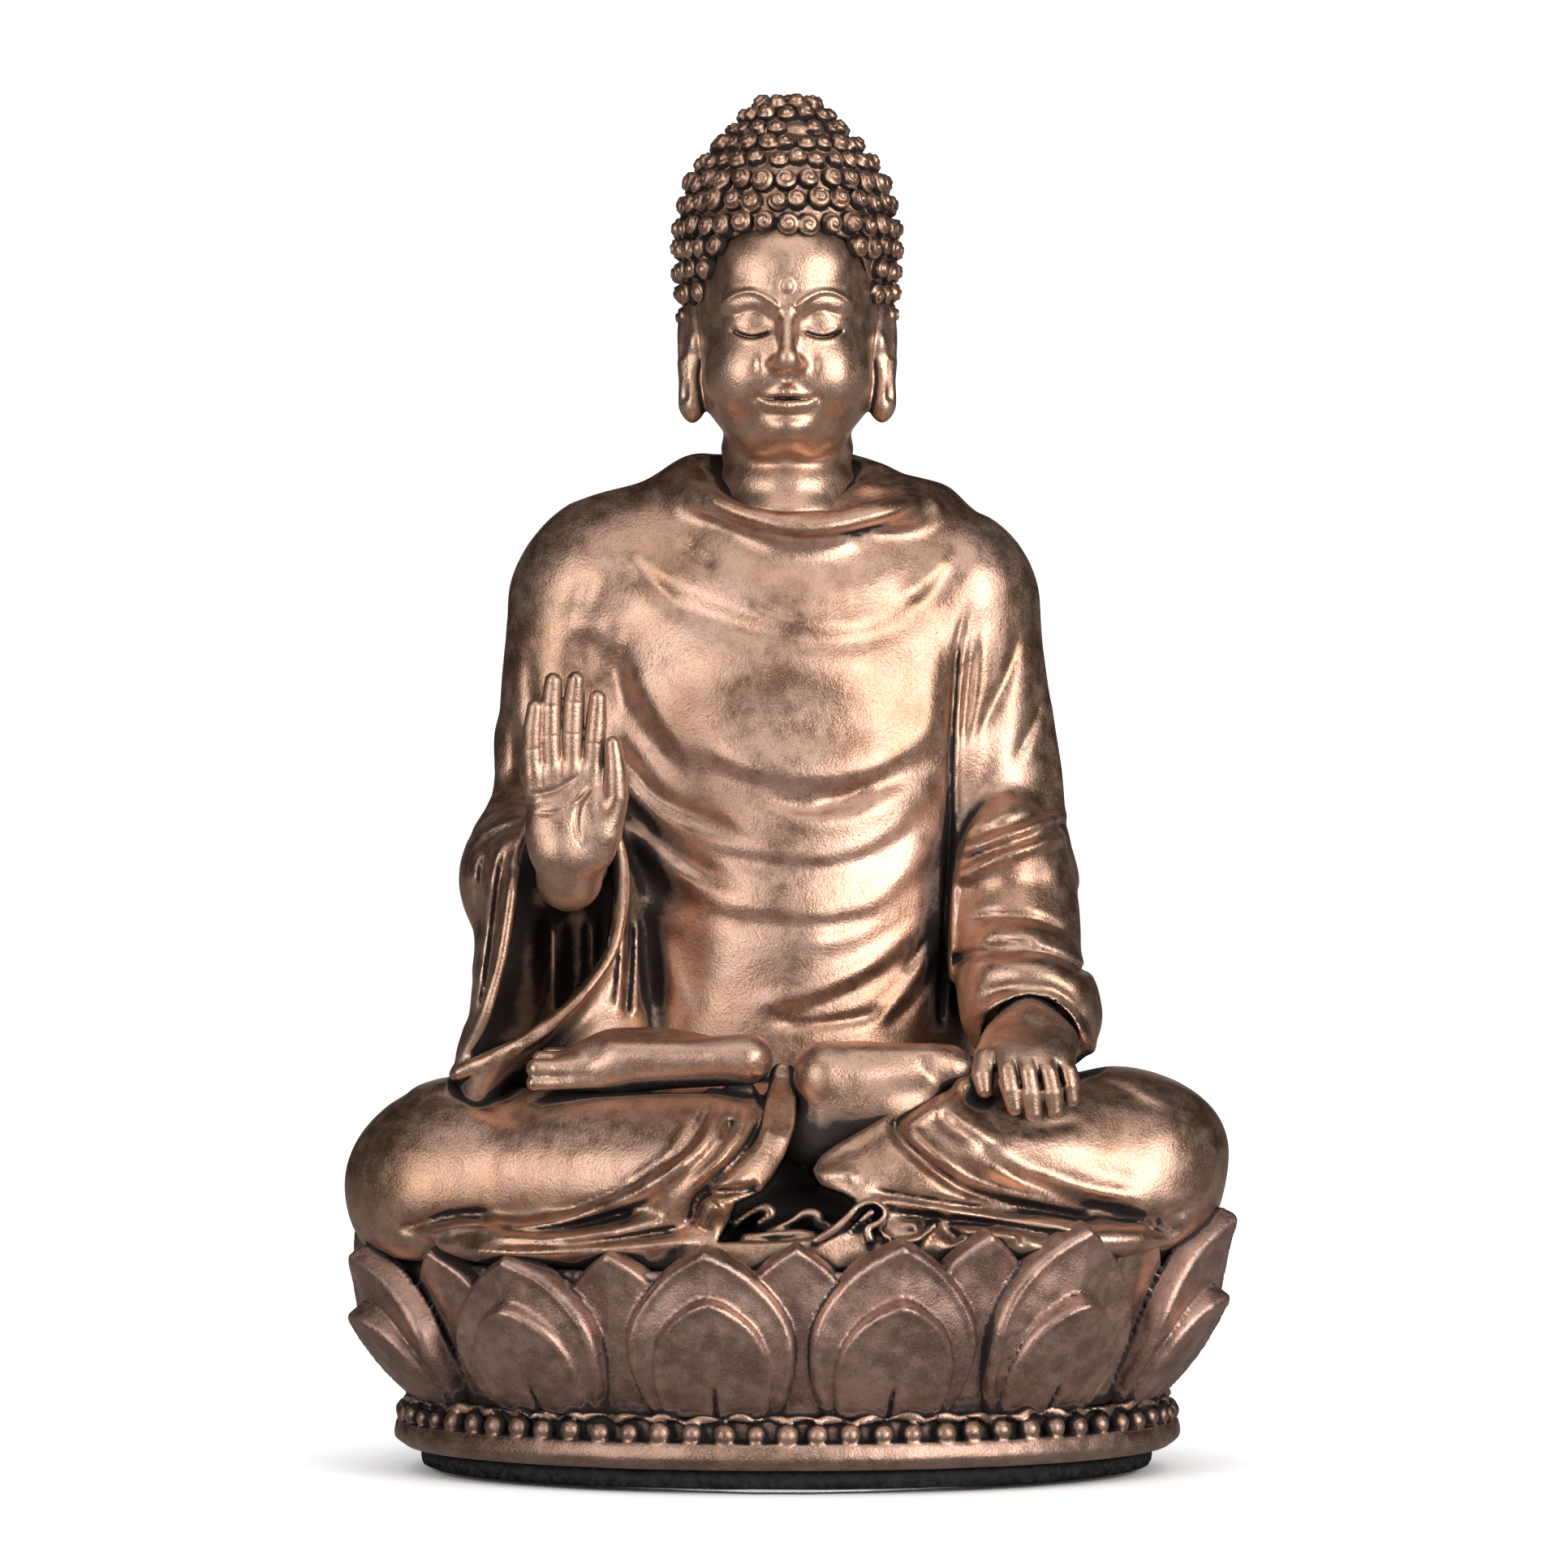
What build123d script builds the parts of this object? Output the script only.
"""Seated Buddha statue on a lotus pedestal, cold-cast resin with a bronze finish.

Frame: +Z up, the figure faces -Y, +X is the figure's left side. Origin: centre of the
footprint, on the surface that the statue stands on. Units: millimetres.

The statue is built from separate castings that are glued over plugs, pegs and dowels:
  head              head, hair and neck, with a neck plug
  figure_body       robed torso, both sleeves and the crossed legs, hollow from below
  right_hand        raised hand with a wrist peg
  left_hand         resting hand with a wrist peg
  locating_dowels   two dowels between the figure and the pedestal
  lotus_pedestal    lotus throne with its petals, hollow from below
  beaded_rim        oval foot with a string of beads
  ballast_fill      stone-powder filling of the hollow foot and pedestal
  base_pad          black foam pad under the foot
  base_film         clear protective film under the pad
"""
from build123d import *
import math
import os

# ---------------------------------------------------------------- driving dimensions
STATUE_HEIGHT = 90.0            # top of the hair, above the table
FILM_T = 0.3                    # clear film
PAD_T = 1.2                     # black pad
FILM_A, FILM_B = 16.8, 18.9     # film half width, half depth
PAD_A, PAD_B = 24.2, 19.3       # pad half width, half depth
RIM_A, RIM_B = 25.8, 20.6       # foot half width, half depth, at its widest
RIM_H = 3.2                     # foot height
RIM_FOOT_A, RIM_FOOT_B = 24.6, 19.6
BEAD_R = 0.72                   # bead radius
BEAD_COUNT = 68
LOTUS_FOOT_A, LOTUS_FOOT_B = 22.6, 17.8   # pedestal core, where it meets the foot
LOTUS_TOP_A, LOTUS_TOP_B = 26.2, 21.2     # pedestal core, at its seat
SEAT_Z = 14.2                   # height of the seat that the figure sits on
LOTUS_MAX_A, LOTUS_MAX_B = 29.2, 24.0     # reach of the petals
FRONT_PETALS = (12.3, 38.5, 73.0)         # front petals, degrees round the oval from its front
MID_PETALS = (0.0, 25.6, 55.5, 90.0)      # petals that show between them
FILL_A, FILL_B = 18.6, 14.4     # hollow of foot and pedestal
FILL_TOP_Z = 11.2               # underside of the seat
DOWEL_R, DOWEL_X, DOWEL_Y = 1.5, 14.2, 1.5
DOWEL_TOP_Z = 18.0
NECK_PLUG_R, NECK_PLUG_DEPTH = 3.0, 5.0
WRIST_PEG_R, WRIST_PEG_L = 0.95, 3.4
PIN_FIT = 0.05                  # radial glue gap round plugs, pegs and dowels

Z_PAD = FILM_T
Z_RIM = FILM_T + PAD_T
Z_LOTUS = Z_RIM + RIM_H

HERE = "parts"
os.makedirs(HERE, exist_ok=True)


# ---------------------------------------------------------------- helpers
def V(*p):
    return Vector(*p)


def along(p0, p1):
    """Plane with its origin at p0 and its z axis towards p1."""
    d = V(*p1) - V(*p0)
    return Plane(origin=V(*p0), z_dir=d)


def capsule(p0, r0, p1, r1):
    """Two spheres and the cone that is tangent to both, as one revolved solid."""
    length = (V(*p1) - V(*p0)).length
    s = (r0 - r1) / length
    c = math.sqrt(1 - s * s)
    a0, z0 = r0 * c, r0 * s
    a1, z1 = r1 * c, length + r1 * s
    t0 = math.asin(s)

    def on(radius, centre, angle):
        return (radius * math.cos(angle), centre + radius * math.sin(angle))

    m0 = on(r0, 0, (t0 - math.pi / 2) / 2)
    m1 = on(r1, length, (t0 + math.pi / 2) / 2)
    with BuildSketch(Plane.XZ) as sk:
        with BuildLine():
            ThreePointArc((0, -r0), m0, (a0, z0))
            Line((a0, z0), (a1, z1))
            ThreePointArc((a1, z1), m1, (0, length + r1))
            Line((0, length + r1), (0, -r0))
        make_face()
    body = revolve(sk.sketch, Axis.Z)
    return along(p0, p1) * body


def ellipsoid(centre, radii):
    return Pos(*centre) * scale(Sphere(1), by=radii)


def oval(z, a, b, cx=0.0, cy=0.0):
    return Pos(cx, cy, z) * Ellipse(a, b)


def oval_loft(rows, ruled=False):
    return loft([oval(*r) for r in rows], ruled=ruled)


def only(shape, label):
    solids = shape.solids()
    assert len(solids) == 1, (label, len(solids), [s.volume for s in solids])
    return solids[0]


def save(name, shape):
    shape.label = name
    export_step(shape, os.path.join(HERE, name + ".step"))
    print(name, "volume", round(shape.volume, 1))


# ---------------------------------------------------------------- figure body
TORSO = [
    # z, half width, half depth, x, y
    (12.5, 15.5, 11.5, 0, 5.0),
    (20.0, 14.8, 11.0, 0, 5.0),
    (30.0, 11.6, 8.8, 0, 4.4),
    (40.0, 11.8, 9.0, 0, 4.0),
    (50.0, 13.6, 8.8, 0, 4.2),
    (56.5, 14.0, 7.6, 0, 4.6),
    (61.5, 9.6, 6.2, 0, 4.6),
    (64.6, 5.2, 4.9, 0, 4.2),
]
SHOULDER_R, ELBOW_R = (-13.6, 4.4, 55.6), (-15.2, 4.0, 39.5)
SHOULDER_L, ELBOW_L = (12.4, 4.4, 55.6), (14.4, 4.6, 38.0)
CUFF_R = (-14.6, -7.0, 38.6)
CUFF_L = (15.6, -7.6, 29.8)

torso = oval_loft(TORSO)
arms = [
    capsule((-11.7, 4.4, 57.4), 5.5, (11.1, 4.4, 57.4), 5.5),
    capsule(SHOULDER_R, 4.9, ELBOW_R, 4.6),
    capsule(SHOULDER_L, 4.6, ELBOW_L, 4.4),
    capsule(ELBOW_R, 4.5, CUFF_R, 3.6),
    capsule(ELBOW_L, 4.5, CUFF_L, 4.3),
]
# the wide right sleeve, hanging from the forearm to the lap
sleeve = oval_loft(
    [
        (40.5, 3.6, 6.2, -14.8, -2.6),
        (34.0, 4.8, 7.0, -15.9, -3.4),
        (28.0, 5.8, 7.6, -16.6, -4.4),
        (23.5, 6.2, 8.0, -17.0, -5.0),
    ]
)
sleeve_hollow = oval_loft(
    [
        (37.0, 1.6, 4.4, -13.8, -9.4),
        (31.0, 2.6, 5.0, -14.4, -11.6),
        (27.2, 3.4, 5.2, -15.2, -12.6),
    ]
)
legs = [
    capsule((-9.0, 7.0, 20.4), 7.0, (-22.0, -4.6, 20.8), 6.6),
    capsule((9.0, 7.0, 20.6), 7.0, (22.0, -4.2, 21.4), 6.6),
    capsule((-22.0, -5.6, 20.5), 6.5, (-4.0, -14.6, 20.4), 5.6),
    capsule((22.0, -5.2, 21.2), 6.5, (4.0, -14.0, 20.8), 5.4),
    capsule((-15.2, -11.6, 27.4), 1.5, (-2.4, -12.6, 27.4), 2.2),
    capsule((11.4, -11.6, 27.2), 1.7, (2.2, -13.2, 26.4), 2.6),
]
lap = ellipsoid((0, -4.0, 20.6), (20.0, 13.0, 6.0))
seat_skirt = oval_loft([(SEAT_Z - 1, 25.4, 19.9, 0, -0.4), (17.0, 24.4, 19.2, 0, -0.4), (19.0, 21.0, 16.0, 0, -0.2)])
collar = Pos(0, 3.2, 61.6) * Rot(24, 0, 0) * Torus(5.7, 1.25)

body = torso
for piece in arms + [sleeve] + legs + [lap, seat_skirt, collar]:
    body = body + piece
body = body - sleeve_hollow
body = body - Pos(0, 0, SEAT_Z - 20) * Box(80, 80, 40)

# ---------------------------------------------------------------- sockets in the body
NECK = (0, 3.9)
NECK_Z = 62.4                    # seat of the neck in the collar
neck_well = Pos(NECK[0], NECK[1], NECK_Z + 10) * Cylinder(4.45, 20)
neck_socket = Pos(NECK[0], NECK[1], NECK_Z - NECK_PLUG_DEPTH / 2) * Cylinder(
    NECK_PLUG_R + PIN_FIT, NECK_PLUG_DEPTH + 0.2
)
RIGHT_WRIST = (-14.0, -12.6, 39.4)
RIGHT_FORE = V(0.9, 11.0, 0.4).normalized()      # from the wrist back into the sleeve
LEFT_WRIST = (15.5, -11.2, 30.2)
LEFT_FORE = V(0.2, 11.0, 3.0).normalized()


def peg(wrist, fore, radius, start, end):
    a = V(*wrist) + fore * start
    return Plane(origin=a, z_dir=fore) * Pos(0, 0, (end - start) / 2) * Cylinder(radius, end - start)


# flat glue faces where each wrist meets its sleeve
RW_FACE, LW_FACE = 2.2, 1.4
body = body - neck_well - neck_socket
body = body - peg(RIGHT_WRIST, RIGHT_FORE, 2.6, -8.0, RW_FACE)
body = body - peg(RIGHT_WRIST, RIGHT_FORE, WRIST_PEG_R + PIN_FIT, RW_FACE - 0.2, RW_FACE + WRIST_PEG_L + 0.2)
LEFT_CLEAR = 3.7
body = body - peg(LEFT_WRIST, LEFT_FORE, LEFT_CLEAR, -9.0, LW_FACE)
body = body - peg(LEFT_WRIST, LEFT_FORE, WRIST_PEG_R + PIN_FIT, LW_FACE - 0.2, LW_FACE + WRIST_PEG_L + 0.2)
# hollow of the figure, open at its underside
core = oval_loft(
    [
        (SEAT_Z - 1, 10.8, 7.4, 0, 4.6),
        (26.0, 8.6, 5.6, 0, 4.4),
        (40.0, 7.6, 5.4, 0, 4.2),
        (51.0, 7.0, 4.6, 0, 4.2),
    ]
)
body = body - core
for sx in (-1, 1):
    body = body - Pos(sx * DOWEL_X, DOWEL_Y, (SEAT_Z + DOWEL_TOP_Z) / 2) * Cylinder(
        DOWEL_R + PIN_FIT, DOWEL_TOP_Z - SEAT_Z + 0.4
    )

# ---------------------------------------------------------------- head
HAIR = (0, 4.0, 79.2)
skull = ellipsoid((0, 2.4, 75.6), (5.7, 6.6, 8.6))
hair = ellipsoid(HAIR, (7.4, 7.7, 6.9)) & (
    Pos(0, 4.0, 90) * Box(40, 40, 18.6) + Pos(0, 14.6, 76) * Box(40, 22, 40)
)
sides = capsule((-5.6, 4.6, 80.0), 1.8, (-5.7, 4.6, 76.4), 1.7) + capsule((5.6, 4.6, 80.0), 1.8, (5.7, 4.6, 76.4), 1.7)
dome = ellipsoid((0, 4.5, 82.4), (5.9, 6.1, STATUE_HEIGHT - 82.4))
neck = Pos(NECK[0], NECK[1], (NECK_Z + 71) / 2) * Cylinder(4.3, 71 - NECK_Z)
head = skull + hair + sides + dome + neck
head = head + capsule((0, -4.0, 72.6), 0.75, (0, -3.3, 75.6), 0.45)       # nose
head = head + capsule((-1.0, -3.1, 70.6), 0.42, (1.0, -3.1, 70.6), 0.42)  # lips
for sx in (-1, 1):
    head = head + capsule((sx * 6.3, 3.6, 75.0), 1.15, (sx * 6.0, 2.9, 69.0), 0.95)
head = head + Pos(NECK[0], NECK[1], NECK_Z - NECK_PLUG_DEPTH / 2) * Cylinder(NECK_PLUG_R, NECK_PLUG_DEPTH)

# ---------------------------------------------------------------- right hand, raised
palm = loft(
    [
        Pos(-14.0, -12.9, 38.6) * Ellipse(1.9, 1.5),
        Pos(-13.9, -13.1, 41.0) * Ellipse(2.9, 1.5),
        Pos(-13.8, -13.3, 44.2) * Ellipse(3.05, 1.25),
        Pos(-13.9, -13.4, 46.6) * Ellipse(2.75, 0.95),
    ]
)
rh = palm + capsule((-14.0, -12.9, 38.8), 1.75, RIGHT_WRIST, 1.75)
rh = rh + peg(RIGHT_WRIST, RIGHT_FORE, 1.7, 0.0, RW_FACE)
for x0, x1, tip in ((-16.1, -16.3, 50.1), (-14.75, -14.85, 51.6), (-13.35, -13.35, 51.6), (-12.0, -11.9, 50.6)):
    rh = rh + capsule((x0, -13.4, 45.6), 0.74, (x1, -13.9, tip), 0.58)
rh = rh + capsule((-11.9, -13.5, 41.6), 1.0, (-10.9, -14.5, 46.6), 0.62)
rh = rh + peg(RIGHT_WRIST, RIGHT_FORE, WRIST_PEG_R, RW_FACE - 0.1, RW_FACE + WRIST_PEG_L)

# ---------------------------------------------------------------- left hand, resting
LEFT_PALM = [((14.7, -11.6, 29.5), 2.0, (15.2, -13.0, 28.7), 2.0), ((16.7, -11.6, 29.3), 1.9, (16.7, -13.0, 28.5), 1.85)]
LEFT_FINGERS = [
    ((x0, -13.5, 28.1), 0.85, (x1, -15.6, tip), 0.62)
    for x0, x1, tip in ((13.7, 14.4, 24.5), (15.1, 15.7, 24.2), (16.4, 17.0, 24.3), (17.6, 18.1, 25.0))
]
LEFT_THUMB = ((13.3, -12.8, 28.5), 0.95, (12.5, -15.2, 25.9), 0.65)
LEFT_HAND = LEFT_PALM + LEFT_FINGERS + [LEFT_THUMB]
lh = peg(LEFT_WRIST, LEFT_FORE, 2.3, 0.0, LW_FACE)
for p0, r0, p1, r1 in LEFT_HAND:
    lh = lh + capsule(p0, r0, p1, r1)
lh = lh + peg(LEFT_WRIST, LEFT_FORE, WRIST_PEG_R, LW_FACE - 0.1, LW_FACE + WRIST_PEG_L)

# the lap is relieved where the resting hand and the raised wrist would touch it
HAND_GAP = 0.06
for p0, r0, p1, r1 in LEFT_HAND:
    body = body - capsule(p0, r0 + HAND_GAP, p1, r1 + HAND_GAP)

# ---------------------------------------------------------------- lotus pedestal
core_out = oval_loft(
    [(Z_LOTUS, LOTUS_FOOT_A, LOTUS_FOOT_B), (9.4, 24.8, 19.9), (SEAT_Z, LOTUS_TOP_A, LOTUS_TOP_B)]
)


def petal(width, height, thick, keel):
    """Pointed leaf, standing in XZ from z = 0, its face towards -Y, with a raised keel."""
    w = width / 2
    with BuildSketch(Plane.XZ) as sk:
        with BuildLine():
            Line((-w * 0.78, 0), (w * 0.78, 0))
            Spline([(w * 0.78, 0), (w, height * 0.42), (w * 0.62, height * 0.78), (0, height)])
            Spline([(0, height), (-w * 0.62, height * 0.78), (-w, height * 0.42), (-w * 0.78, 0)])
        make_face()
    leaf = extrude(sk.sketch, amount=thick, dir=(0, -1, 0))
    rib = capsule((0, -thick + 0.15, height * 0.12), keel, (0, -thick + 0.15, height * 0.86), keel * 0.6)
    return leaf + rib


def place(angle, ring_a, ring_b, z, lean, leaf):
    x, y = ring_a * math.sin(angle), -ring_b * math.cos(angle)
    nx, ny = x / ring_a**2, y / ring_b**2
    turn = math.degrees(math.atan2(nx, -ny))
    return Pos(x, y, z) * Rot(0, 0, turn) * Rot(lean, 0, 0) * leaf


big = petal(10.8, 11.9, 1.9, 0.42)
small = petal(7.6, 7.2, 0.9, 0.3)
back = petal(8.2, 11.4, 1.7, 0.3)
lotus = core_out


def round_oval(front):
    """The same angles to both sides, at the front and mirrored to the back."""
    found = sorted({round(a, 6) for f in front for a in (f % 360, -f % 360, (180 - f) % 360, (180 + f) % 360)})
    return [math.radians(a) for a in found]


for a in round_oval(MID_PETALS):
    lotus = lotus + place(a, 23.2, 18.4, Z_LOTUS, 17, back)
for a in round_oval(FRONT_PETALS):
    lotus = lotus + place(a, 23.6, 18.2, Z_LOTUS, 20, big)
    lotus = lotus + place(a, 24.7, 19.2, Z_LOTUS, 27, small)
lotus = lotus & (Pos(0, 0, Z_LOTUS + 20) * Box(2 * LOTUS_MAX_A, 2 * LOTUS_MAX_B, 40))
# the seat stays flat and clear inside the ring of petals
clear = oval_loft([(SEAT_Z, LOTUS_TOP_A, LOTUS_TOP_B), (SEAT_Z + 6, LOTUS_TOP_A + 2.2, LOTUS_TOP_B + 2.2)])
lotus = lotus - clear
fill_hole = Pos(0, 0, (Z_LOTUS + FILL_TOP_Z) / 2) * extrude(Ellipse(FILL_A, FILL_B), amount=(FILL_TOP_Z - Z_LOTUS) / 2, both=True)
lotus = lotus - fill_hole
for sx in (-1, 1):
    lotus = lotus - Pos(sx * DOWEL_X, DOWEL_Y, (FILL_TOP_Z + SEAT_Z) / 2) * Cylinder(DOWEL_R + PIN_FIT, SEAT_Z - FILL_TOP_Z + 1)

# ---------------------------------------------------------------- beaded foot
rim = oval_loft(
    [(Z_RIM, RIM_FOOT_A, RIM_FOOT_B), (Z_RIM + 1.6, RIM_A - 0.35, RIM_B - 0.35), (Z_RIM + 2.4, RIM_A - 0.5, RIM_B - 0.5)],
)
rim = rim + Pos(0, 0, Z_RIM + 2.3) * extrude(Ellipse(24.2, 19.0), amount=RIM_H - 2.3)
rim = rim - Pos(0, 0, Z_RIM) * extrude(Ellipse(FILL_A, FILL_B), amount=RIM_H)
beads = []
steps, arc = 7200, [0.0]
BA, BB = RIM_A - BEAD_R - 0.1, RIM_B - BEAD_R - 0.1
for k in range(steps):
    t = 2 * math.pi * (k + 0.5) / steps
    arc.append(arc[-1] + math.hypot(BA * math.cos(t), BB * math.sin(t)) * 2 * math.pi / steps)
k = 0
for i in range(BEAD_COUNT):
    want = arc[-1] * i / BEAD_COUNT
    while arc[k + 1] < want:
        k += 1
    t = 2 * math.pi * k / steps
    beads.append(Pos(BA * math.sin(t), -BB * math.cos(t), Z_RIM + 2.45) * Sphere(BEAD_R))
rim = rim.fuse(*beads) if hasattr(rim, "fuse") else rim + beads

# ---------------------------------------------------------------- ballast, pad, film, dowels
ballast = Pos(0, 0, Z_RIM) * extrude(Ellipse(FILL_A, FILL_B), amount=FILL_TOP_Z - Z_RIM)
pad = Pos(0, 0, Z_PAD) * extrude(Ellipse(PAD_A, PAD_B), amount=PAD_T)
film = extrude(Ellipse(FILM_A, FILM_B), amount=FILM_T)
dowels = [
    Pos(sx * DOWEL_X, DOWEL_Y, (FILL_TOP_Z + DOWEL_TOP_Z) / 2) * Cylinder(DOWEL_R, DOWEL_TOP_Z - FILL_TOP_Z)
    for sx in (-1, 1)
]

# the knees and the hem are relieved where they hang over the petal tips
body = body - lotus

print("extents body", body.bounding_box(), "lotus", lotus.bounding_box(), "head", head.bounding_box())
main = max(body.solids(), key=lambda s: s.volume)
print("body solids", [round(s.volume, 2) for s in body.solids()])
save("figure_body", main)
save("head", only(head, "head"))
save("right_hand", only(rh, "right_hand"))
save("left_hand", only(lh, "left_hand"))
print("lotus solids", [round(s.volume, 2) for s in lotus.solids()])
save("lotus_pedestal", max(lotus.solids(), key=lambda s: s.volume))
print("rim solids", [round(s.volume, 2) for s in rim.solids()])
save("beaded_rim", max(rim.solids(), key=lambda s: s.volume))
save("ballast_fill", only(ballast, "ballast"))
save("base_pad", only(pad, "pad"))
save("base_film", only(film, "film"))
save("locating_dowels", Compound(children=[d.solids()[0] for d in dowels]))
